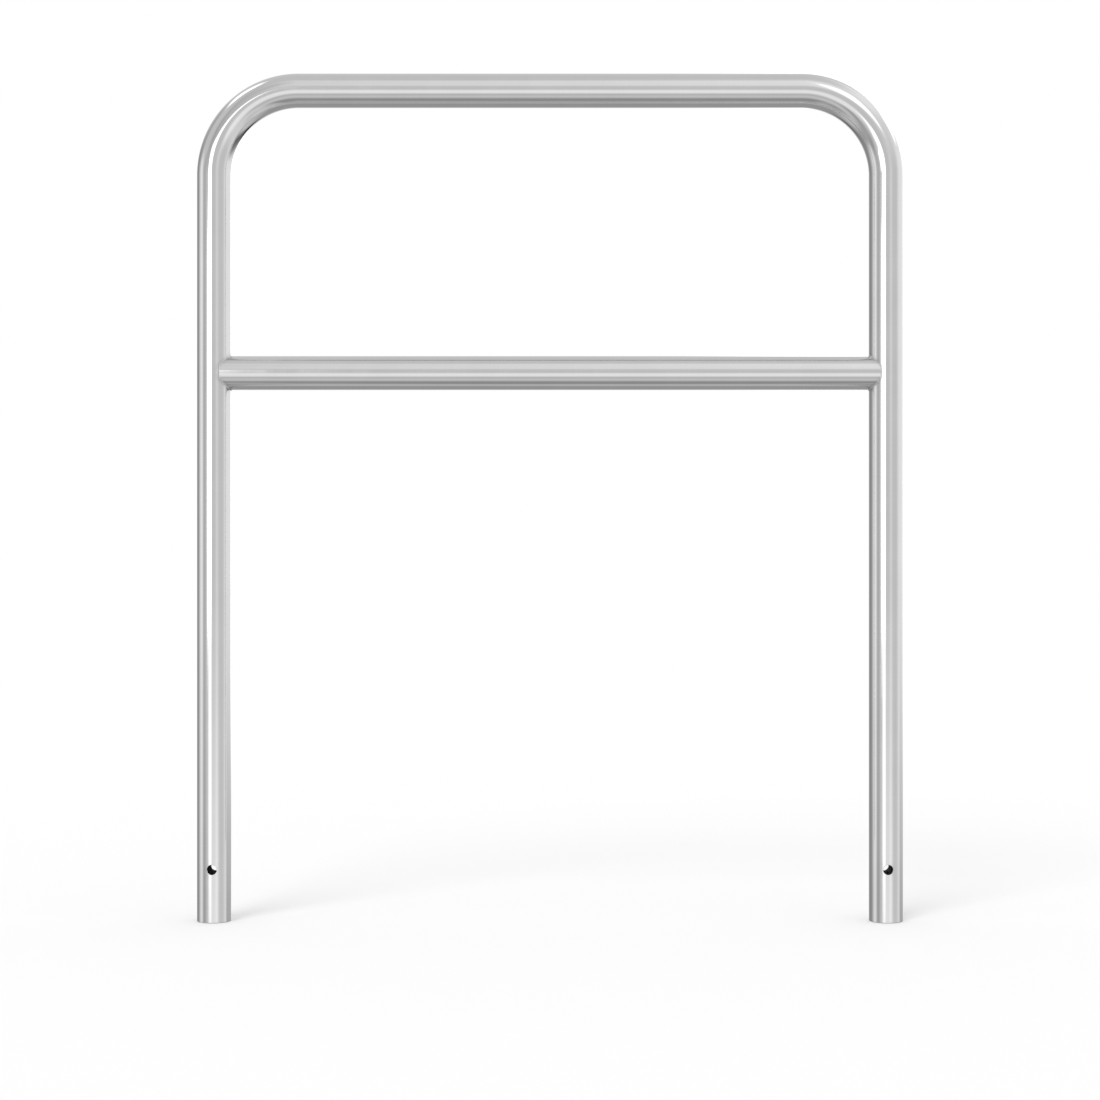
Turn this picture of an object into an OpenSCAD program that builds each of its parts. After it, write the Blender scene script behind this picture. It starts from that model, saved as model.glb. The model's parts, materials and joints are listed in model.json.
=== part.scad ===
// Hoop barrier: one tube bent into a hoop, with a crossbar coped and welded between its legs.
// The legs run on below the pavement, where an anchor rod goes through each of them.
// X runs along the barrier, Y through it and Z up. The origin is the centre of the left leg's end.

/* [Tube] */
// Outside diameter of the tube that the hoop and the crossbar are made of
tube_od = 48; // [42:0.1:76]
// Wall of the tube
tube_wall = 2.5; // [1.5:0.1:4]

/* [Hoop] */
// Width over both legs
hoop_w = 1000; // [600:10:2000]
// Height of the hoop's top above the pavement
above_ground = 900; // [600:10:1300]
// Length of each leg below the pavement
buried = 300; // [200:10:500]
// Radius of both bends, at the tube's centreline
bend_r = 120; // [80:5:200]

/* [Crossbar] */
// Drop from the hoop's top centreline to the crossbar's centreline
bar_drop = 400; // [250:5:500]

// Gap left at the root of the cope for the weld to run into
cope_gap = 0.1; // [0.05:0.05:0.5]

/* [Leg ends] */
// Width of the edge broken off the sawn ends, inside and outside
edge_break = 0.5; // [0.2:0.1:1]

/* [Anchor holes] */
// Diameter of the hole through each leg
anchor_d = 14; // [8:0.5:20]
// Height of the holes above the legs' ends
anchor_up = 75; // [40:5:150]

/* [Welds] */
// Radius of the weld bead
weld_r = 1.8; // [1.8:0.1:4]
// How much the bead is flattened towards the joint before it is laid round the cope
weld_flat = 0.85; // [0.6:0.05:1]

/* [Hidden] */
$fn = 96;
bead_fn = 24;
cut = 1;
tube_r = tube_od / 2;
leg_pitch = hoop_w - tube_od;
rail_z = above_ground + buried - tube_r;
bend_z = rail_z - bend_r;
bar_z = rail_z - bar_drop;

// The ears of the cope are cut off square where the wall would start to run out to a feather edge,
// so the wall's outside stands one wall thickness off the leg there. Distance from the leg's axis
ear_x = sqrt(pow(tube_r, 2) - pow(tube_r - tube_wall, 2));
ear_y = tube_r - tube_wall;

// The bead over a cut-off ear bows out by half a wall
bow = tube_wall / 2;
bow_r = (pow(ear_x, 2) + pow(bow, 2)) / (2 * bow);
bow_angle = asin(ear_x / bow_r);

// Straight tube from the origin up the Z axis
module tube(length) {
    difference() {
        cylinder(d = tube_od, h = length);
        translate([0, 0, -cut])
            cylinder(d = tube_od - 2 * tube_wall, h = length + 2 * cut);
    }
}

// Quarter bend that carries a leg at the origin over to a rail along +X
module bend() {
    translate([bend_r, 0, 0])
        rotate([90, 0, 0])
            rotate([0, 0, 90])
                rotate_extrude(angle = 90)
                    translate([bend_r, 0])
                        difference() {
                            circle(d = tube_od);
                            circle(d = tube_od - 2 * tube_wall);
                        }
}

// Hole for an anchor rod, through both walls of a leg that stands on the origin
module anchor_hole() {
    translate([0, 0, anchor_up])
        rotate([90, 0, 0])
            cylinder(d = anchor_d, h = tube_od + 2 * cut, center = true);
}

// What the file takes off the sawn end of a leg that stands on the origin
module broken_edges() {
    difference() {
        translate([0, 0, -cut])
            cylinder(r = tube_r + cut, h = cut + edge_break);
        cylinder(r1 = tube_r - edge_break, r2 = tube_r, h = edge_break);
    }
    cylinder(r1 = tube_r - tube_wall + edge_break, r2 = tube_r - tube_wall, h = edge_break);
}

// Leg that stands on the origin, with its bend
module leg() {
    difference() {
        tube(bend_z);
        anchor_hole();
        broken_edges();
    }
    translate([0, 0, bend_z]) bend();
}

// What stands at the left leg, repeated at the right one the other way round
module at_right_leg() {
    translate([leg_pitch, 0, 0]) mirror([1, 0, 0]) children();
}

module hoop() {
    color("silver") {
        leg();
        at_right_leg() leg();
        translate([bend_r, 0, rail_z])
            rotate([0, 90, 0])
                tube(leg_pitch - 2 * bend_r);
    }
}

// Tube between the legs, with each end coped to its leg and the ears of the cope cut off square
module crossbar() {
    color("gainsboro")
        difference() {
            translate([ear_x, 0, bar_z])
                rotate([0, 90, 0])
                    tube(leg_pitch - 2 * ear_x);
            for (x = [0, leg_pitch])
                translate([x, 0, bar_z - tube_od])
                    cylinder(r = tube_r + cope_gap, h = 2 * tube_od);
        }
}

// Two tubes of one size meet in a plane at 45 degrees, along an ellipse that is a circle stretched
// by the square root of 2. This is the bead over the part of it above the cut-off ears
module bead_over_cope() {
    difference() {
        rotate([0, -45, 0])
            scale([sqrt(2), 1, 1])
                rotate_extrude()
                    translate([tube_r, 0])
                        scale([weld_flat, 1])
                            circle(r = weld_r, $fn = bead_fn);
        translate([-2 * tube_od, -tube_od, ear_x - 4 * tube_od])
            cube([4 * tube_od, 2 * tube_od, 4 * tube_od]);
    }
}

// Bead along a cut-off ear, at the front of the joint, and the knuckles where it turns
module bead_over_ear() {
    translate([ear_x, ear_y + bow - bow_r, 0])
        rotate([0, 90, 0])
            rotate([0, 0, 90 - bow_angle])
                rotate_extrude(angle = 2 * bow_angle)
                    translate([bow_r, 0])
                        circle(r = weld_r, $fn = bead_fn);
    for (z = [-ear_x, ear_x])
        translate([ear_x, ear_y, z])
            sphere(r = weld_r, $fn = bead_fn);
}

// Closed bead round the crossbar's end at a leg on the origin. It fits both tubes' surfaces
module weld() {
    difference() {
        union() {
            bead_over_cope();
            mirror([0, 0, 1]) bead_over_cope();
            bead_over_ear();
            mirror([0, 1, 0]) bead_over_ear();
        }
        cylinder(r = tube_r, h = 4 * tube_od, center = true);
        translate([ear_x, 0, 0])
            rotate([0, 90, 0])
                cylinder(r = tube_r, h = 2 * tube_od);
    }
}

module left_weld() {
    color("darkgray")
        translate([0, 0, bar_z]) weld();
}

module right_weld() {
    color("darkgray")
        at_right_leg()
            translate([0, 0, bar_z]) weld();
}

hoop();
crossbar();
left_weld();
right_weld();
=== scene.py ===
"""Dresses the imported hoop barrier: tube skins with their drilled holes, rippled weld beads, steel finishes
and a plain white studio. Metres throughout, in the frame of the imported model."""

import json
import math

import bmesh
import bpy
import numpy as np
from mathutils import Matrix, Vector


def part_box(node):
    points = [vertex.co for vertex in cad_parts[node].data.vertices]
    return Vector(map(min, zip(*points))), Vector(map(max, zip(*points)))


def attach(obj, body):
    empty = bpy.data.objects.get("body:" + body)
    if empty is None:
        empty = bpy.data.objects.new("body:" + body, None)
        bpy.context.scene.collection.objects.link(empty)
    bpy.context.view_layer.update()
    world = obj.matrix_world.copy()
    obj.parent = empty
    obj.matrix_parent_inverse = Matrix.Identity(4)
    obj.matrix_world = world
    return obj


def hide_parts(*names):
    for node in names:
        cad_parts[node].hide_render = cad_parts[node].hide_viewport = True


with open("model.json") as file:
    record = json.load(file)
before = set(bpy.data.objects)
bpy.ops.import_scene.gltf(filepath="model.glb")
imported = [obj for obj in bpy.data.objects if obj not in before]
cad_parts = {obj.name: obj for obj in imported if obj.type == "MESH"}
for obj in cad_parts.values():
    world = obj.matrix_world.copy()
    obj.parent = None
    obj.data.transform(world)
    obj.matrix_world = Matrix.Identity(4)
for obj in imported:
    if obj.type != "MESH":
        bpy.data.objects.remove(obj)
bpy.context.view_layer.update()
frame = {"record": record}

bl_info = {
    "name": "Hoop barrier",
    "version": (1, 0, 0),
    "blender": (4, 5, 0),
    "location": "3D View > Sidebar > Barrier",
    "description": "Skins, weld beads, steel finishes and studio for a tubular hoop barrier",
    "category": "Object",
}

BODY = "root"

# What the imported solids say. The left leg's axis is the Z axis.
hoop_low, hoop_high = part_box("hoop")
bar_low, bar_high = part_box("crossbar")
TUBE_R = -hoop_low.x
LEG_PITCH = hoop_high.x + hoop_low.x
RAIL_Z = hoop_high.z - TUBE_R
BAR_Z = (bar_low.z + bar_high.z) / 2
EAR_X = bar_low.x
BORE_R = math.sqrt(TUBE_R**2 - EAR_X**2)
WALL = TUBE_R - BORE_R
MOUNTS = {mount["name"]: mount for mount in frame["record"]["mounts"]}
HOLE_R = MOUNTS["left_anchor_hole"]["dims"]["r_mm"] / 1000
HOLE_Z = MOUNTS["left_anchor_hole"]["pos_m"][2]

FLOOR_GAP = 0.0003
TOWARDS_VIEWER = np.array([0.0, -1.0, 0.0])
POLISHED, SAWN, BORE = 0, 1, 2

# Which way a finish's lines run, as the pattern's speed along the tube, across it and outwards.
ROUND_THE_TUBE = (1.0, 0.03, 0.03)
FROM_SIDE_TO_SIDE = (0.03, 1.0, 0.03)
ALONG_THE_TUBE = (0.03, 1.0, 1.0)

# Columns round the hoop and the crossbar, and cells from a hole's centre to its block's side.
HOOP_COLUMNS = 128
BAR_COLUMNS = 144
HALF_BLOCK = 10
# Angles from which an edge shows as sharp.
TUBE_CREASE = math.radians(32)
BEAD_CREASE = math.radians(60)

# Depth of the tool marks, and the reach and the added roughness of the zone beside a weld.
MARK_DEPTH = 0.00002
DRESSED_REACH = 0.006
DRESSED_ROUGHNESS = 0.08

# The floor's paint, the lamp's apparent size and direction, and the camera's sensor in millimetres.
FLOOR_WHITE = 0.96
FLOOR_ROUGHNESS = 0.9
LAMP_SPREAD = math.radians(25)
LAMP_TURN = (math.radians(38), math.radians(-24), 0.0)
SENSOR_WIDTH = 36.0


def metres(name, default, description, **more):
    """A length property."""
    return bpy.props.FloatProperty(
        name=name, default=default, description=description, unit="LENGTH", precision=5, **more
    )


def plain(name, default, description, **more):
    """A bare number property."""
    return bpy.props.FloatProperty(name=name, default=default, description=description, **more)


def colour(name, default, description):
    """A colour property."""
    return bpy.props.FloatVectorProperty(
        name=name, default=default, description=description, subtype="COLOR", size=3, min=0, max=1
    )


class BarrierSizes(bpy.types.PropertyGroup):
    """Sizes of the skins and of the weld beads."""

    bend_r: metres("Bend radius", 0.12, "Radius of both bends, at the tube's centreline")
    end_break: metres("End edge break", 0.0005, "Edge taken off the sawn leg ends")
    hole_break: metres("Hole edge break", 0.0004, "Rounding of the anchor holes' edges")
    bead_height: metres("Bead height", 0.001, "Height of the weld bead over the joint, before its ripples")
    bead_width: metres("Bead width", 0.0026, "Width of the weld bead from toe to toe")
    ripple_pitch: metres("Ripple pitch", 0.0015, "Distance from one weld ripple to the next")
    ripple_depth: plain("Ripple depth", 0.16, "Depth of a ripple as a share of the bead's height")


class BarrierFinish(bpy.types.PropertyGroup):
    """Colours and finishes of the steel."""

    polished: colour("Polished steel", (0.601, 0.6, 0.603), "Outside of the tubes")
    sawn: colour("Sawn steel", (0.5, 0.5, 0.49), "Leg ends and drilled edges")
    # The bore's colour is far darker than the polished steel's: partly the duller rolled finish, partly
    # painted shade inside the tubes and their drilled holes.
    bore: colour("Bore", (0.22, 0.215, 0.21), "Inside of the tubes, as rolled")
    bead: colour("Weld bead", (0.5, 0.5, 0.5), "Brushed weld metal")
    tint: colour("Dressed steel", (0.53, 0.53, 0.528), "Tube beside the welds, dressed with a finer belt")
    roughness: plain("Roughness", 0.09, "Roughness of the polished tube", min=0.0, max=1.0)


class BarrierStage(bpy.types.PropertyGroup):
    """Camera, floor and light."""

    camera_distance: metres("Camera distance", 3.2, "From the camera to the hoop's plane")
    camera_height: metres("Camera height", 0.5252, "Height of the level camera over the leg ends")
    frame_width: metres("Frame width", 1.55922, "Width of the picture in the hoop's plane")
    floor_radius: metres("Floor radius", 6.0, "Radius of the pale floor")
    sky: plain("Surround", 0.86, "Strength of the white surround on the floor")
    sun: plain("Lamp", 0.8, "Strength of the soft lamp that casts the shadow")
    window: plain("Window", 1.7, "Strength of the windows that the steel mirrors")


# Meshes


def grid_faces(index, closed_rows=True):
    """Quads between the vertices of a grid of indices. Columns always close on themselves."""
    below = index if closed_rows else index[:-1]
    above = np.roll(index, -1, axis=0) if closed_rows else index[1:]
    quads = [below, np.roll(below, -1, axis=1), np.roll(above, -1, axis=1), above]
    return np.stack(quads, axis=-1)


def mesh_object(name, points, quads, slots, unbent, materials, crease=TUBE_CREASE):
    """One object from arrays of points, quads and material slots, with the unbent position of each point."""
    mesh = bpy.data.meshes.new(name)
    mesh.from_pydata(points.tolist(), [], quads.tolist())
    for material in materials:
        mesh.materials.append(material)
    mesh.polygons.foreach_set("material_index", slots.astype(np.int32))
    store = mesh.attributes.new("unbent", "FLOAT_VECTOR", "POINT")
    store.data.foreach_set("vector", unbent.astype(np.float32).ravel())
    shape = bmesh.new()
    shape.from_mesh(mesh)
    loose = [v for v in shape.verts if not v.link_faces]
    bmesh.ops.delete(shape, geom=loose, context="VERTS")
    bmesh.ops.recalc_face_normals(shape, faces=shape.faces)
    shape.to_mesh(mesh)
    shape.free()
    mesh.polygons.foreach_set("use_smooth", np.ones(len(mesh.polygons), bool))
    mesh.set_sharp_from_angle(angle=crease)
    made = bpy.data.objects.new(name, mesh)
    bpy.context.scene.collection.objects.link(made)
    return made


def around(columns):
    """Even angles once round. On a tube they start at the viewer's side and turn towards the outside of
    the bend."""
    return np.arange(columns) * (2 * math.pi / columns)


class HoopPath:
    """Centreline of the hoop from the left leg's end over the rail to the right leg's end."""

    def __init__(self, bend_r):
        self.bend_r = bend_r
        self.leg = RAIL_Z - bend_r
        self.arc = bend_r * math.pi / 2
        self.rail = LEG_PITCH - 2 * bend_r
        self.length = 2 * (self.leg + self.arc) + self.rail

    def at(self, s):
        """Points and outward directions at lengths s. Each stretch takes its own share of s: leg up,
        quarter circle, rail, quarter circle, leg down. The heading is the angle turned so far."""
        up = np.clip(s, 0, self.leg)
        first = np.clip(s - self.leg, 0, self.arc) / self.bend_r
        along = np.clip(s - self.leg - self.arc, 0, self.rail)
        second = np.clip(s - self.leg - self.arc - self.rail, 0, self.arc) / self.bend_r
        down = np.clip(s - self.length + self.leg, 0, self.leg)
        x = self.bend_r * (1 - np.cos(first)) + along + self.bend_r * np.sin(second)
        z = up + self.bend_r * np.sin(first) - self.bend_r * (1 - np.cos(second)) - down
        heading = first + second
        points = np.stack([x, np.zeros_like(x), z], axis=-1)
        outward = np.stack([-np.cos(heading), np.zeros_like(x), np.sin(heading)], axis=-1)
        return points, outward


def tube_points(centres, outward, radii, angles):
    """Centre + radius * (cos(angle) towards the viewer + sin(angle) outward), for rows and columns."""
    spoke = (
        np.cos(angles)[None, :, None] * TOWARDS_VIEWER
        + np.sin(angles)[None, :, None] * outward[:, None, :]
    )
    return centres[:, None, :] + radii[:, None, None] * spoke


def unbent_points(s, radii, angles):
    """Where the tube's points would be if its centreline were straight: (length, across, outward)."""
    across = radii[:, None] * np.cos(angles)[None, :]
    out = radii[:, None] * np.sin(angles)[None, :]
    return np.stack([np.broadcast_to(s[:, None], across.shape), across, out], axis=-1)


def block_rim(low, high, left, right, columns):
    """Rows and columns of the grid points round a block of cells, once round."""
    wide = np.arange(left, right)
    tall = np.arange(low, high)
    rows = np.concatenate(
        [np.full(wide.size, low), tall, np.full(wide.size, high), tall[::-1] + 1]
    )
    cols = np.concatenate(
        [wide, np.full(tall.size, right), wide[::-1] + 1, np.full(tall.size, left)]
    )
    return rows, cols % columns


def collar_rings(outer_rim, inner_rim, axis_x, side, edge):
    """Rings of a drilled hole's surface, from the tube's outside through the wall to its bore.

    Each ring is a circle round the hole's axis, drawn out towards the rim of the grid's block by a share
    k, and set on the tube's outer or inner surface, or between the two by a share of the wall."""

    def flat(rim):
        return np.stack([rim[:, 0] - axis_x, rim[:, 2] - HOLE_Z], axis=-1)

    def surface(plane, radius):
        return side * np.sqrt(radius**2 - plane[:, 0] ** 2)

    def placed(plane, depth):
        y = (1 - depth) * surface(plane, TUBE_R) + depth * surface(plane, BORE_R)
        return np.stack([plane[:, 0] + axis_x, y, plane[:, 1] + HOLE_Z], axis=-1)

    outer, inner = flat(outer_rim), flat(inner_rim)
    turn = np.arctan2(outer[:, 1], outer[:, 0])
    circle = np.stack([np.cos(turn), np.sin(turn)], axis=-1)
    wide = (HOLE_R + edge) * circle
    outside_shares = (0.75, 0.5, 0.25, 0.1, 0.02)
    wall_depths = (0.4, 0.6)
    bore_shares = (0.1, 0.25, 0.5, 0.75)
    corner = np.linspace(0, math.pi / 2, 5)
    bevel = [
        ((HOLE_R + edge * (1 - math.sin(t))) * circle, edge * (1 - math.cos(t)) / WALL)
        for t in corner
    ]
    rings = [placed(wide + k * (outer - wide), 0.0) for k in outside_shares]
    rings += [placed(plane, depth) for plane, depth in bevel]
    rings += [placed(HOLE_R * circle, depth) for depth in wall_depths]
    rings += [placed(plane, 1 - depth) for plane, depth in reversed(bevel)]
    rings += [placed(wide + k * (inner - wide), 1.0) for k in bore_shares]
    slots = [POLISHED] * (len(outside_shares) + 1)
    slots += [SAWN] * (2 * len(bevel) + len(wall_depths) - 1)
    slots += [BORE] * (len(bore_shares) + 1)
    return np.array(rings), np.array(slots)


def hoop_skin(sizes, materials):
    """The hoop as one closed wall: a profile that runs up the outside, round the sawn edge, back down the
    bore and round the other edge is carried along the centreline, and drilled at both legs."""
    path = HoopPath(sizes.bend_r)
    columns = HOOP_COLUMNS
    half_block = HALF_BLOCK
    cell = 2 * math.pi * TUBE_R / columns
    block = HOLE_Z + cell * np.arange(-half_block, half_block + 1)
    bend = path.leg + np.linspace(0, path.arc, 49)
    half = np.concatenate(
        [
            np.linspace(sizes.end_break, block[0], 5)[:-1],
            block,
            np.linspace(block[-1], BAR_Z - 2 * TUBE_R, 9)[1:],
            np.linspace(BAR_Z - 2 * TUBE_R, BAR_Z + 2 * TUBE_R, 41)[1:],
            np.linspace(BAR_Z + 2 * TUBE_R, path.leg, 7)[1:-1],
            bend,
            np.linspace(path.leg + path.arc, path.length / 2, 9)[1:-1],
        ]
    )
    s = np.concatenate([half, [path.length / 2], (path.length - half)[::-1]])
    lip_s = np.array([path.length, path.length])
    lip_r = np.array([TUBE_R - sizes.end_break, BORE_R + sizes.end_break])
    row_s = np.concatenate([s, lip_s, s[::-1], path.length - lip_s])
    row_r = np.concatenate([np.full(s.size, TUBE_R), lip_r, np.full(s.size, BORE_R), lip_r[::-1]])
    angles = around(columns)
    centres, outward = path.at(row_s)
    grid = tube_points(centres, outward, row_r, angles)
    straight = unbent_points(row_s, row_r, angles)
    index = np.arange(grid.shape[0] * columns).reshape(-1, columns)
    quads = grid_faces(index)
    n = s.size
    slots = np.full(quads.shape[:2], SAWN)
    slots[: n - 1] = POLISHED
    slots[n + 2 : 2 * n + 1] = BORE
    keep = np.ones(quads.shape[:2], bool)

    points, unbent = [grid.reshape(-1, 3)], [straight.reshape(-1, 3)]
    faces, face_slots = [], []
    used = index.size
    first = int(np.argmin(np.abs(s - block[0])))
    for leg, low in enumerate((first, n - 1 - first - 2 * half_block)):
        high = low + 2 * half_block
        for side, middle in ((-1, 0), (1, columns // 2)):
            left, right = middle - half_block, middle + half_block
            cells = np.arange(left, right) % columns
            keep[low:high, cells] = False
            back_low = 2 * n + 1 - high
            keep[back_low : back_low + 2 * half_block, cells] = False
            rows, cols = block_rim(low, high, left, right, columns)
            back = 2 * n + 1 - rows
            rings, ring_slots = collar_rings(
                grid[rows, cols], grid[back, cols], leg * LEG_PITCH, side, sizes.hole_break
            )
            new = used + np.arange(rings.shape[0] * rings.shape[1]).reshape(rings.shape[:2])
            used += new.size
            ladder = np.concatenate([index[rows, cols][None], new, index[back, cols][None]])
            collar = grid_faces(ladder, closed_rows=False)
            faces.append(collar.reshape(-1, 4))
            face_slots.append(np.repeat(ring_slots, collar.shape[1]))
            points.append(rings.reshape(-1, 3))
            length = rings[..., 2] if leg == 0 else path.length - rings[..., 2]
            out = (rings[..., 0] - leg * LEG_PITCH) * (2 * leg - 1)
            unbent.append(np.stack([length, -rings[..., 1], out], axis=-1).reshape(-1, 3))
    faces.insert(0, quads[keep])
    face_slots.insert(0, slots[keep])
    return mesh_object(
        "hoop_tube",
        np.concatenate(points),
        np.concatenate(faces),
        np.concatenate(face_slots),
        np.concatenate(unbent),
        materials,
    )


def cope_x(radius, angles):
    """Distance from a leg's axis at which a tube of that radius meets the leg: x = sqrt(R^2 - y^2) with
    y = radius * cos(angle), and nowhere nearer than the square cut across the ears."""
    return np.maximum(EAR_X, np.sqrt(np.maximum(TUBE_R**2 - (radius * np.cos(angles)) ** 2, 0)))


def crossbar_skin(materials):
    """The crossbar as one closed wall. Rows run from the left cope to the right one outside, and back
    inside. A row's x is shared out between the two copes, so that the end rows lie on them."""
    columns = BAR_COLUMNS
    near = 0.05
    share = np.concatenate(
        [np.linspace(0, near, 13), np.linspace(near, 1 - near, 19)[1:-1], np.linspace(1 - near, 1, 13)]
    )
    angles = around(columns)
    walls, unbent = [], []
    for radius, shares in ((TUBE_R, share), (BORE_R, share[::-1])):
        start = cope_x(radius, angles)
        x = start + shares[:, None] * (LEG_PITCH - 2 * start)
        y = np.broadcast_to(-radius * np.cos(angles), x.shape)
        z = np.broadcast_to(radius * np.sin(angles), x.shape)
        walls.append(np.stack([x, y, z + BAR_Z], axis=-1))
        unbent.append(np.stack([x, y, z], axis=-1))
    grid = np.concatenate(walls)
    index = np.arange(grid.shape[0] * columns).reshape(-1, columns)
    quads = grid_faces(index)
    slots = np.full(quads.shape[:2], SAWN)
    slots[: share.size - 1] = POLISHED
    slots[share.size : 2 * share.size - 1] = BORE
    return mesh_object(
        "crossbar_tube",
        grid.reshape(-1, 3),
        quads.reshape(-1, 4),
        slots.ravel(),
        np.concatenate(unbent).reshape(-1, 3),
        materials,
    )


def seam(angles):
    """The joint's edge round the crossbar's left end, from the leg's axis and the bar's centre.

    Two tubes of one radius R meet where x = |z| and y = -R cos(angle), z = R sin(angle). Over the square
    cut the edge keeps to x = EAR_X, and its y bows out by half a wall."""
    z = TUBE_R * np.sin(angles)
    share = np.clip(1 - (z / EAR_X) ** 2, 0, 1)
    over_ear = np.abs(z) < EAR_X
    reach = np.where(over_ear, BORE_R + share * WALL / 2, np.abs(TUBE_R * np.cos(angles)))
    return np.stack([np.maximum(EAR_X, np.abs(z)), -np.sign(np.cos(angles)) * reach, z], axis=-1)


def bead_grid(sizes, columns=24, samples=8):
    """A weld bead: flat ellipses carried along the seam, each swollen by the ripple it lies in.

    The place in a ripple is the fraction of s / pitch - lag, and its height sin(pi * fraction^climb)^blunt:
    a crest that climbs slowly and drops fast, with a narrow valley. The lag is curl * (1 - cos(turn)): it
    grows from the bead's crown to its toes, so that each crest is a crescent."""
    seam_points = 4001
    soften = 30
    climb = 1.6
    blunt = 0.6
    curl = 0.7
    toe_share = 0.3
    fine = np.linspace(0, 2 * math.pi, seam_points)
    line = seam(fine)
    run = np.concatenate([[0], np.cumsum(np.linalg.norm(np.diff(line, axis=0), axis=1))])
    ripples = int(round(run[-1] / sizes.ripple_pitch))
    rows = ripples * samples
    s = run[-1] * np.arange(rows) / rows
    centre = np.stack([np.interp(s, run, line[:, axis]) for axis in range(3)], axis=-1)
    for _ in range(soften):
        centre = 0.5 * centre + 0.25 * (np.roll(centre, 1, axis=0) + np.roll(centre, -1, axis=0))
    tangent = np.roll(centre, -1, axis=0) - np.roll(centre, 1, axis=0)
    tangent /= np.linalg.norm(tangent, axis=1)[:, None]
    crown = centre * np.array([1.0, 2.0, 1.0])
    crown -= np.sum(crown * tangent, axis=1)[:, None] * tangent
    crown /= np.linalg.norm(crown, axis=1)[:, None]
    across = np.cross(tangent, crown)
    turn = around(columns)
    lag = curl * (1 - np.cos(turn))
    fraction = np.mod((np.arange(rows) / samples)[:, None] - lag[None, :], 1.0)
    valley = sizes.ripple_depth * (1 - np.sin(math.pi * fraction**climb) ** blunt)
    high = sizes.bead_height * (1 - valley) * np.cos(turn)
    wide = sizes.bead_width / 2 * (1 - toe_share * valley) * np.sin(turn)
    points = centre[:, None, :] + high[..., None] * crown[:, None, :] + wide[..., None] * across[:, None, :]
    unbent = np.stack([np.broadcast_to(s[:, None], high.shape), high, wide], axis=-1)
    return points, unbent


def weld_bead(name, sizes, at_right, materials):
    """The bead at one leg, mirrored in x for the right one."""
    points, unbent = bead_grid(sizes)
    points = points + np.array([0.0, 0.0, BAR_Z])
    if at_right:
        points[..., 0] = LEG_PITCH - points[..., 0]
    index = np.arange(points.shape[0] * points.shape[1]).reshape(points.shape[:2])
    quads = grid_faces(index).reshape(-1, 4)
    return mesh_object(
        name,
        points.reshape(-1, 3),
        quads,
        np.zeros(len(quads)),
        unbent.reshape(-1, 3),
        materials,
        crease=BEAD_CREASE,
    )


# Shader nodes


def feed(tree, socket, value):
    """Sets a socket to a value, or joins it to the socket given."""
    if isinstance(value, bpy.types.NodeSocket):
        tree.links.new(value, socket)
    else:
        socket.default_value = value


def put(tree, kind, inputs=None, **settings):
    """A node with its settings, and its inputs set to values or joined to sockets."""
    node = tree.nodes.new(kind)
    for key, value in settings.items():
        setattr(node, key, value)
    for key, value in (inputs or {}).items():
        feed(tree, node.inputs[key], value)
    return node


def calc(tree, operation, first, second=None, third=None):
    """The result of a Math node."""
    given = {i: v for i, v in enumerate((first, second, third)) if v is not None}
    return put(tree, "ShaderNodeMath", given, operation=operation).outputs[0]


def ramp(tree, value, start, end, low=0.0, high=1.0):
    """A smooth step of a value from start to end, between low and high."""
    given = {"Value": value, "From Min": start, "From Max": end, "To Min": low, "To Max": high}
    node = put(tree, "ShaderNodeMapRange", given, interpolation_type="SMOOTHSTEP")
    return node.outputs[0]


def blend_colour(tree, factor, first, second):
    """Mixes a colour from a socket with a fixed one, by a factor."""
    given = {0: factor, 6: first, 7: (*second, 1.0)}
    return put(tree, "ShaderNodeMix", given, data_type="RGBA").outputs[2]


def new_group(name, inputs, outputs):
    """A shader node group with named sockets, and its own input and output nodes."""
    tree = bpy.data.node_groups.new(name, "ShaderNodeTree")
    for label, kind, default in inputs:
        socket = tree.interface.new_socket(label, in_out="INPUT", socket_type=kind)
        if default is not None:
            socket.default_value = default
    for label, kind in outputs:
        tree.interface.new_socket(label, in_out="OUTPUT", socket_type=kind)
    return tree, tree.nodes.new("NodeGroupInput"), tree.nodes.new("NodeGroupOutput")


def use_group(tree, group, inputs):
    """A group placed in a tree with its own values."""
    return put(tree, "ShaderNodeGroup", inputs, node_tree=group)


def soft_card_group():
    """Mask of a card of light: 1 within half its width of its centre, and 0 past its soft edge."""
    number = "NodeSocketFloat"
    tree, given, out = new_group(
        "Soft card",
        [
            ("Angle", number, 0.0),
            ("Centre", number, 0.0),
            ("Half width", number, 10.0),
            ("Softness", number, 4.0),
        ],
        [("Mask", number)],
    )
    away = calc(tree, "SUBTRACT", given.outputs["Angle"], given.outputs["Centre"])
    away = calc(tree, "ABSOLUTE", calc(tree, "WRAP", away, 180.0, -180.0))
    inner = calc(tree, "SUBTRACT", given.outputs["Half width"], given.outputs["Softness"])
    outer = calc(tree, "ADD", given.outputs["Half width"], given.outputs["Softness"])
    node = put(
        tree,
        "ShaderNodeMapRange",
        {"Value": away, "From Min": inner, "From Max": outer, "To Min": 1.0, "To Max": 0.0},
        interpolation_type="SMOOTHSTEP",
    )
    tree.links.new(node.outputs[0], out.inputs["Mask"])
    return tree


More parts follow.
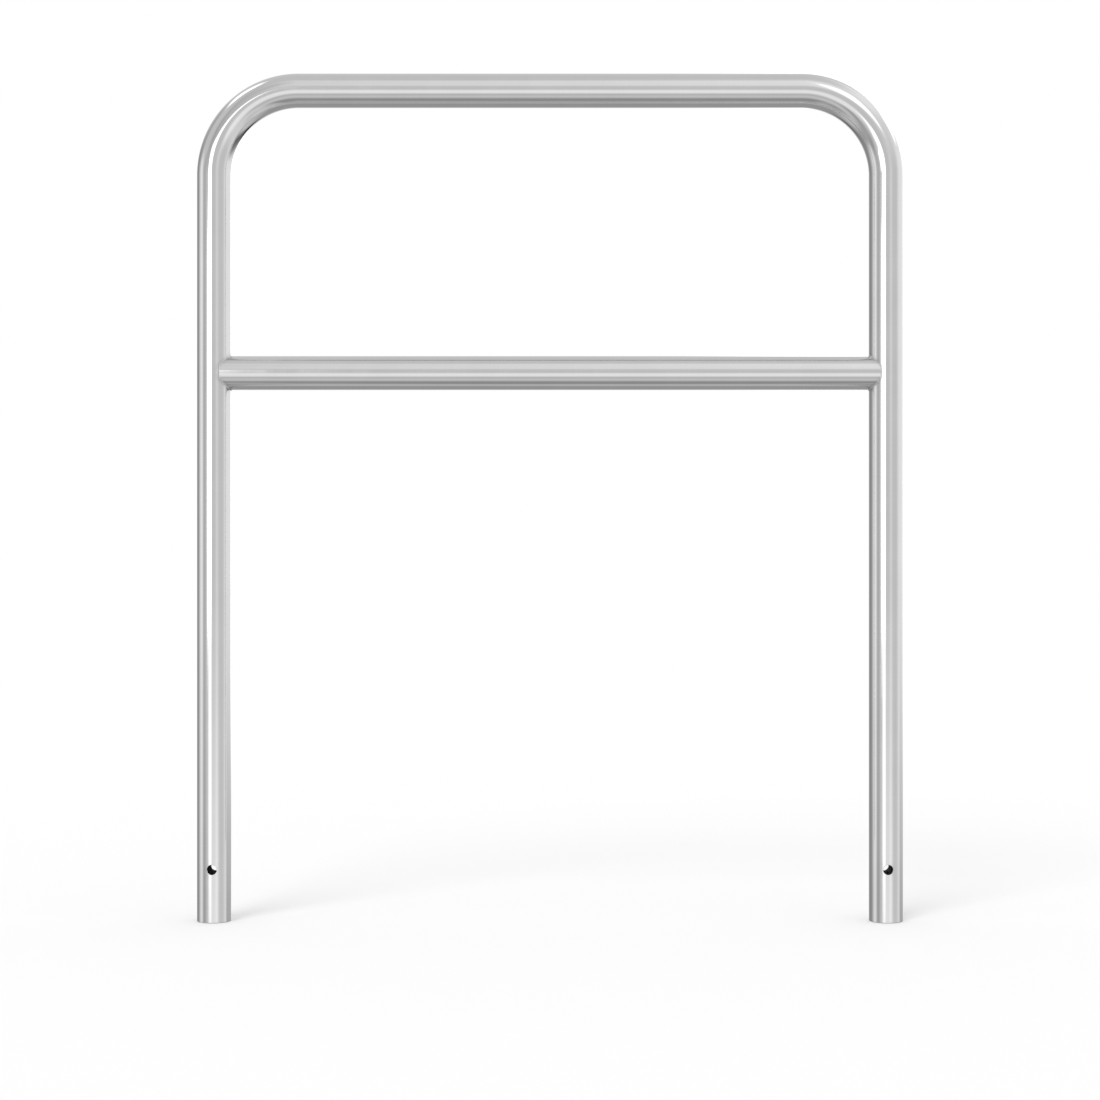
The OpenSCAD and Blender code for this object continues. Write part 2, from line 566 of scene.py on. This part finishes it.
def tool_marks_group():
    """Fine lines that a belt, a saw or rolling leaves, and the patches that were gone over twice.

    Grain says how fast the lines change along the tube, across it and outwards: where it is small, the
    lines run that way."""
    number, vector = "NodeSocketFloat", "NodeSocketVector"
    tree, given, out = new_group(
        "Tool marks",
        [
            ("Position", vector, None),
            ("Grain", vector, ROUND_THE_TUBE),
            ("Line pitch", number, 0.0006),
            ("Patch size", number, 0.05),
        ],
        [("Height", number), ("Patches", number)],
    )
    grained = put(
        tree,
        "ShaderNodeVectorMath",
        {0: given.outputs["Position"], 1: given.outputs["Grain"]},
        operation="MULTIPLY",
    )
    lines = put(
        tree,
        "ShaderNodeTexNoise",
        {
            "Vector": grained.outputs[0],
            "Scale": calc(tree, "DIVIDE", 1.0, given.outputs["Line pitch"]),
            "Detail": 2.0,
            "Roughness": 0.6,
        },
    )
    patches = put(
        tree,
        "ShaderNodeTexNoise",
        {
            "Vector": given.outputs["Position"],
            "Scale": calc(tree, "DIVIDE", 1.0, given.outputs["Patch size"]),
            "Detail": 3.0,
            "Roughness": 0.55,
            "Distortion": 0.3,
        },
    )
    tree.links.new(lines.outputs[0], out.inputs["Height"])
    tree.links.new(patches.outputs[0], out.inputs["Patches"])
    return tree


def near_weld_group():
    """Mask of the dressed zone beside the welds. The seams lie in the planes x = |z| through each joint's
    centre, so the distance to them is ||x| - |z|| / sqrt(2), within the joint's own reach."""
    number = "NodeSocketFloat"
    tree, given, out = new_group("Beside the welds", [("Reach", number, DRESSED_REACH)], [("Mask", number)])
    place = put(tree, "ShaderNodeTexCoord").outputs["Object"]
    xyz = put(tree, "ShaderNodeSeparateXYZ", {0: place}).outputs
    inwards = calc(tree, "MINIMUM", xyz[0], calc(tree, "SUBTRACT", LEG_PITCH, xyz[0]))
    height = calc(tree, "SUBTRACT", xyz[2], BAR_Z)
    steep = calc(tree, "SUBTRACT", calc(tree, "ABSOLUTE", inwards), calc(tree, "ABSOLUTE", height))
    away = calc(tree, "DIVIDE", calc(tree, "ABSOLUTE", steep), math.sqrt(2))
    close = put(
        tree,
        "ShaderNodeMapRange",
        {"Value": away, "From Min": 0.0, "From Max": given.outputs["Reach"], "To Min": 1.0, "To Max": 0.0},
        interpolation_type="SMOOTHSTEP",
    ).outputs[0]
    off_centre = put(tree, "ShaderNodeCombineXYZ", {0: inwards, 1: xyz[1], 2: height}).outputs[0]
    spread = put(tree, "ShaderNodeVectorMath", {0: off_centre}, operation="LENGTH").outputs["Value"]
    joint_edge = (1.5 * TUBE_R, 1.9 * TUBE_R)
    inner_edge = (0.1 * TUBE_R, 0.4 * TUBE_R)
    joint = ramp(tree, spread, *joint_edge, 1.0, 0.0)
    inner_side = ramp(tree, inwards, *inner_edge)
    mask = calc(tree, "MULTIPLY", calc(tree, "MULTIPLY", close, joint), inner_side)
    tree.links.new(mask, out.inputs["Mask"])
    return tree


def steel_material(
    name,
    base,
    roughness,
    grain=ROUND_THE_TUBE,
    lines=0.2,
    pitch=0.0006,
    patch=0.05,
    spread=0.02,
    streak=0.01,
    tint=None,
):
    """Metal with its tool marks in its normal, patches in its roughness and colour, and a duller zone
    beside the welds."""
    groups = shared_groups()
    material = bpy.data.materials.new(name)
    material.use_nodes = True
    tree = material.node_tree
    tree.nodes.clear()
    output = tree.nodes.new("ShaderNodeOutputMaterial")
    shader = tree.nodes.new("ShaderNodeBsdfPrincipled")
    tree.links.new(shader.outputs[0], output.inputs["Surface"])
    shader.inputs["Metallic"].default_value = 1.0
    place = put(tree, "ShaderNodeAttribute", attribute_name="unbent", attribute_type="GEOMETRY")
    marks = use_group(
        tree,
        groups["marks"],
        {"Position": place.outputs["Vector"], "Grain": grain, "Line pitch": pitch, "Patch size": patch},
    )
    patches = marks.outputs["Patches"]
    noise_span = (0.3, 0.7)
    patch_span = (0.25, 0.75)
    patch_shade = 0.015
    level = ramp(tree, patches, *noise_span, roughness - spread, roughness + spread)
    lined = ramp(tree, marks.outputs["Height"], *noise_span, 1 - streak, 1 + streak)
    patched = ramp(tree, patches, *patch_span, 1 - patch_shade, 1 + patch_shade)
    shade = calc(tree, "MULTIPLY", patched, lined)
    coloured = put(tree, "ShaderNodeVectorMath", {0: base, "Scale": shade}, operation="SCALE").outputs[0]
    if tint is not None:
        beside = use_group(tree, groups["weld"], {"Reach": DRESSED_REACH}).outputs[0]
        coloured = blend_colour(tree, beside, coloured, tint)
        level = calc(tree, "ADD", level, calc(tree, "MULTIPLY", beside, DRESSED_ROUGHNESS))
    tree.links.new(coloured, shader.inputs["Base Color"])
    tree.links.new(level, shader.inputs["Roughness"])
    bump = put(
        tree,
        "ShaderNodeBump",
        {"Height": marks.outputs["Height"], "Strength": lines, "Distance": MARK_DEPTH},
    )
    tree.links.new(bump.outputs[0], shader.inputs["Normal"])
    return material


def shared_groups():
    """The effects that more than one material uses, built once."""
    names = {"marks": ("Tool marks", tool_marks_group), "weld": ("Beside the welds", near_weld_group)}
    return {key: bpy.data.node_groups.get(name) or build() for key, (name, build) in names.items()}


def tube_materials(finish):
    """Outside, sawn edges and bore of a tube, in the order of the slots. The bore's dark colour is partly its
    duller rolled finish and partly painted shade inside the tube.
    """
    made = bpy.data.materials.get("polished_steel")
    if made:
        return [made, bpy.data.materials["sawn_steel"], bpy.data.materials["tube_bore"]]
    polished, sawn, bore = tuple(finish.polished), tuple(finish.sawn), tuple(finish.bore)
    return [
        steel_material("polished_steel", polished, finish.roughness, tint=tuple(finish.tint)),
        steel_material(
            "sawn_steel",
            sawn,
            roughness=0.34,
            grain=FROM_SIDE_TO_SIDE,
            lines=0.8,
            pitch=0.0004,
            patch=0.006,
            spread=0.05,
            streak=0.16,
        ),
        # Dark bore: duller rolled steel, with painted shade inside the tube and its holes in its colour.
        steel_material(
            "tube_bore",
            bore,
            roughness=0.5,
            grain=ALONG_THE_TUBE,
            lines=0.5,
            pitch=0.0015,
            patch=0.02,
            spread=0.1,
            streak=0.2,
        ),
    ]


def bead_materials(finish):
    """Brushed weld metal."""
    made = bpy.data.materials.get("weld_metal")
    if made:
        return [made]
    return [
        steel_material(
            "weld_metal",
            tuple(finish.bead),
            roughness=0.24,
            lines=0.3,
            pitch=0.0005,
            patch=0.004,
            streak=0.04,
        )
    ]


# Stage

# The studio that the polished steel mirrors. Angles in degrees: azimuth 0 is the camera's side and 90 the
# right, and roll climbs from the camera's side over the top to the back. Levels add to the surround's.
SURROUND = 0.84
# Label, azimuth and half width, elevation and half height, softness, level.
WALL_CARDS = (
    ("left wall", -87, 12, 0, 18, 6, 0.38),
    ("left flag", -60, 9, 0, 16, 6, -0.17),
    ("rear left flag", -138, 23, -8, 26, 13, -0.46),
    ("upper left flag", -118, 18, 28, 14, 8, -0.26),
    ("right near wall", 27, 9, 0, 14, 7, 0.17),
    ("right wall", 115, 36, 5, 20, 16, 0.35),
    ("upper right wall", 76, 68, 44, 24, 14, 0.16),
    ("low right wall", 60, 30, -28, 14, 10, 0.16),
    ("rear right flag", 128, 30, -18, 11, 8, -0.72),
    ("upper front flag", -33, 20, 34, 20, 10, -0.32),
    ("low left flag", -69, 49, -23, 13, 9, -0.28),
    ("low left glow", -54, 28, -72, 8, 10, 0.2),
    ("low right glow", 64, 27, -63, 14, 9, 0.34),
    ("high right wall", 96, 40, 50, 10, 8, 0.24),
)
# The front and the rear window, each with its head and its foot, and the lamps.
LAMP_CARDS = (
    ("window", -25.3, 15.9, 3, 5, 1, 1.0),
    ("window head", -20, 11, 10, 7, 1.2, 1.0),
    ("window foot", -20, 10, -5, 4, 3, 0.5),
    ("left lamp", -105, 17, 56, 9, 4, 1.0),
    ("right lamp", 27, 11, 34, 10, 4, 0.75),
    ("rear right lamp", 128, 23, 31, 6, 4, 0.7),
    ("rear window", 167, 8, 10, 15, 2, 1.0),
)
# Label, roll and half width, softness, level.
ARCH_CARDS = (
    ("upper wall", 42, 20, 6, 0.24),
    ("low front", -16, 11, 6, 0.4),
    ("knee gap", -37, 5, 4, -0.12),
    ("floor", -74, 14, 9, -0.43),
    ("rear floor", -130, 30, 12, -0.38),
)


def card_mask(tree, group, angle, centre, half, softness):
    """The mask of one soft card along one angle."""
    given = {"Angle": angle, "Centre": float(centre), "Half width": float(half), "Softness": float(softness)}
    return use_group(tree, group, given).outputs[0]


def placed_cards(tree, group, azimuth, elevation, cards):
    """Mask and level of each card that is placed by azimuth and elevation."""
    for _, across, half_width, height, half_height, softness, level in cards:
        wide = card_mask(tree, group, azimuth, across, half_width, softness)
        tall = card_mask(tree, group, elevation, height, half_height, softness)
        yield calc(tree, "MULTIPLY", wide, tall), level


def card_sum(tree, group, azimuth, elevation, cards):
    """The sum of the levels of cards that are placed by azimuth and elevation."""
    total = 0.0
    for mask, level in placed_cards(tree, group, azimuth, elevation, cards):
        total = calc(tree, "MULTIPLY_ADD", mask, level, total)
    return total


def brightest(tree, group, azimuth, elevation, cards):
    """The highest of the lamps' levels. Lamps that overlap don't add up."""
    top = 0.0
    for mask, level in placed_cards(tree, group, azimuth, elevation, cards):
        top = calc(tree, "MAXIMUM", calc(tree, "MULTIPLY", mask, level), top)
    return top


def arch_sum(tree, group, roll, cards):
    """The sum of the levels of cards that span the room from side to side, placed by roll."""
    total = 0.0
    for _, centre, half, softness, level in cards:
        mask = card_mask(tree, group, roll, centre, half, softness)
        total = calc(tree, "MULTIPLY_ADD", mask, level, total)
    return total


def mirrored_room(tree, stage):
    """The strength that mirror rays see in each direction."""
    group = soft_card_group()
    ray = put(tree, "ShaderNodeTexCoord").outputs["Generated"]
    xyz = put(tree, "ShaderNodeSeparateXYZ", {0: ray}).outputs
    to_viewer = calc(tree, "MULTIPLY", xyz[1], -1.0)
    azimuth = calc(tree, "DEGREES", calc(tree, "ARCTAN2", xyz[0], to_viewer))
    elevation = calc(tree, "DEGREES", calc(tree, "ARCSINE", xyz[2]))
    roll = calc(tree, "DEGREES", calc(tree, "ARCTAN2", xyz[2], to_viewer))
    arch_ends = (0.3, 0.8)
    sideways = ramp(tree, calc(tree, "ABSOLUTE", xyz[0]), *arch_ends, 1.0, 0.0)
    arches = calc(tree, "MULTIPLY", arch_sum(tree, group, roll, ARCH_CARDS), sideways)
    walls = card_sum(tree, group, azimuth, elevation, WALL_CARDS)
    lamps = brightest(tree, group, azimuth, elevation, LAMP_CARDS)
    room = calc(tree, "ADD", calc(tree, "ADD", arches, walls), SURROUND)
    return calc(tree, "MULTIPLY_ADD", lamps, stage.window, room)


def studio_world(stage):
    """White to the camera and through glass, plain white on the floor, and the studio's cards and windows
    where steel mirrors it."""
    world = bpy.data.worlds.new("studio")
    world.use_nodes = True
    world.cycles.sampling_method = "NONE"
    tree = world.node_tree
    tree.nodes.clear()
    mirrored = mirrored_room(tree, stage)
    path = put(tree, "ShaderNodeLightPath").outputs
    seen = calc(tree, "MAXIMUM", path["Is Camera Ray"], path["Is Transmission Ray"])
    plain_light = ramp(tree, seen, 0.0, 1.0, stage.sky, 1.0)
    strength = put(
        tree, "ShaderNodeMix", {0: path["Is Glossy Ray"], 2: plain_light, 3: mirrored}, data_type="FLOAT"
    ).outputs[0]
    background = put(tree, "ShaderNodeBackground", {"Color": (1.0, 1.0, 1.0, 1.0), "Strength": strength})
    output = tree.nodes.new("ShaderNodeOutputWorld")
    tree.links.new(background.outputs[0], output.inputs["Surface"])
    return world


def floor_disc(radius):
    """A flat disc just under the leg ends: rings of a polar grid closed by its hub."""
    rings, spokes = 6, 96
    turn = around(spokes)
    reach = radius * np.linspace(1, 0, rings, endpoint=False)
    middle = np.array([LEG_PITCH / 2, 0.0, -FLOOR_GAP])
    flat = np.stack([np.cos(turn), np.sin(turn), np.zeros(spokes)], axis=-1)
    points = middle + reach[:, None, None] * flat[None]
    index = np.arange(rings * spokes).reshape(rings, spokes)
    quads = grid_faces(index, closed_rows=False).reshape(-1, 4)
    hub = np.stack([index[-1], np.roll(index[-1], -1), np.full(spokes, rings * spokes)], axis=-1)
    mesh = bpy.data.meshes.new("floor")
    mesh.from_pydata([*points.reshape(-1, 3).tolist(), middle.tolist()], [], [*quads.tolist(), *hub.tolist()])
    made = bpy.data.objects.new("floor", mesh)
    bpy.context.scene.collection.objects.link(made)
    return made


def floor_material():
    """Matt white paint, which lets a view from beneath through."""
    material = bpy.data.materials.new("studio_floor")
    material.use_nodes = True
    tree = material.node_tree
    shader = tree.nodes["Principled BSDF"]
    shader.inputs["Roughness"].default_value = FLOOR_ROUGHNESS
    shader.inputs["Specular IOR Level"].default_value = 0.0
    shader.inputs["Base Color"].default_value = (FLOOR_WHITE, FLOOR_WHITE, FLOOR_WHITE, 1.0)
    clear = tree.nodes.new("ShaderNodeBsdfTransparent")
    beneath = tree.nodes.new("ShaderNodeNewGeometry")
    either = put(
        tree,
        "ShaderNodeMixShader",
        {0: beneath.outputs["Backfacing"], 1: shader.outputs[0], 2: clear.outputs[0]},
    )
    tree.links.new(either.outputs[0], tree.nodes["Material Output"].inputs["Surface"])
    return material


# Operators


class BARRIER_OT_hoop(bpy.types.Operator):
    """Make the bent tube with its drilled legs"""

    bl_idname = "barrier.hoop"
    bl_label = "Hoop"

    def execute(self, context):
        scene = context.scene
        made = hoop_skin(scene.barrier_sizes, tube_materials(scene.barrier_finish))
        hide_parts("hoop")
        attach(made, BODY)
        return {"FINISHED"}


class BARRIER_OT_crossbar(bpy.types.Operator):
    """Make the coped tube between the legs"""

    bl_idname = "barrier.crossbar"
    bl_label = "Crossbar"

    def execute(self, context):
        made = crossbar_skin(tube_materials(context.scene.barrier_finish))
        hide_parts("crossbar")
        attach(made, BODY)
        return {"FINISHED"}


class BARRIER_OT_welds(bpy.types.Operator):
    """Make the rippled beads round both ends of the crossbar"""

    bl_idname = "barrier.welds"
    bl_label = "Weld beads"

    def execute(self, context):
        scene = context.scene
        for side in ("left", "right"):
            metal = bead_materials(scene.barrier_finish)
            made = weld_bead(f"{side}_weld_bead", scene.barrier_sizes, side == "right", metal)
            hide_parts(f"{side}_weld")
            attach(made, BODY)
        return {"FINISHED"}


class BARRIER_OT_stage(bpy.types.Operator):
    """Set the camera, the pale floor and the soft light"""

    bl_idname = "barrier.stage"
    bl_label = "Stage"

    def execute(self, context):
        scene = context.scene
        stage = scene.barrier_stage
        scene.view_settings.view_transform = "Standard"
        scene.world = studio_world(stage)
        floor = floor_disc(stage.floor_radius)
        floor.data.materials.append(floor_material())
        floor.visible_glossy = False
        lamp = bpy.data.lights.new("soft_lamp", "SUN")
        lamp.energy = stage.sun
        lamp.angle = LAMP_SPREAD
        light = bpy.data.objects.new("soft_lamp", lamp)
        light.rotation_euler = LAMP_TURN
        light.visible_glossy = False
        scene.collection.objects.link(light)
        camera = bpy.data.cameras.new("camera")
        camera.sensor_width = SENSOR_WIDTH
        camera.lens = camera.sensor_width * stage.camera_distance / stage.frame_width
        view = bpy.data.objects.new("camera", camera)
        view.location = (LEG_PITCH / 2, -stage.camera_distance, stage.camera_height)
        view.rotation_euler = (math.radians(90), 0.0, 0.0)
        scene.collection.objects.link(view)
        scene.camera = view
        return {"FINISHED"}


class BARRIER_PT_panel(bpy.types.Panel):
    """Sizes, finishes and stage of the hoop barrier"""

    bl_idname = "BARRIER_PT_panel"
    bl_label = "Hoop barrier"
    bl_space_type = "VIEW_3D"
    bl_region_type = "UI"
    bl_category = "Barrier"

    def draw(self, context):
        for group in (
            context.scene.barrier_sizes,
            context.scene.barrier_finish,
            context.scene.barrier_stage,
        ):
            box = self.layout.box()
            for name in group.__annotations__:
                box.prop(group, name)
        for operator in OPERATORS:
            self.layout.operator(operator.bl_idname)


GROUPS = (BarrierSizes, BarrierFinish, BarrierStage)
OPERATORS = (BARRIER_OT_stage, BARRIER_OT_hoop, BARRIER_OT_crossbar, BARRIER_OT_welds)


def register():
    """Adds the settings, the operators and the panel."""
    for cls in (*GROUPS, *OPERATORS, BARRIER_PT_panel):
        bpy.utils.register_class(cls)
    bpy.types.Scene.barrier_sizes = bpy.props.PointerProperty(type=BarrierSizes)
    bpy.types.Scene.barrier_finish = bpy.props.PointerProperty(type=BarrierFinish)
    bpy.types.Scene.barrier_stage = bpy.props.PointerProperty(type=BarrierStage)


def unregister():
    """Takes them away again."""
    del bpy.types.Scene.barrier_stage
    del bpy.types.Scene.barrier_finish
    del bpy.types.Scene.barrier_sizes
    for cls in (BARRIER_PT_panel, *reversed(OPERATORS), *reversed(GROUPS)):
        bpy.utils.unregister_class(cls)


def main():
    """Makes everything in order."""
    register()
    bpy.ops.barrier.stage()
    bpy.ops.barrier.hoop()
    bpy.ops.barrier.crossbar()
    bpy.ops.barrier.welds()


if __name__ == "__main__":
    main()
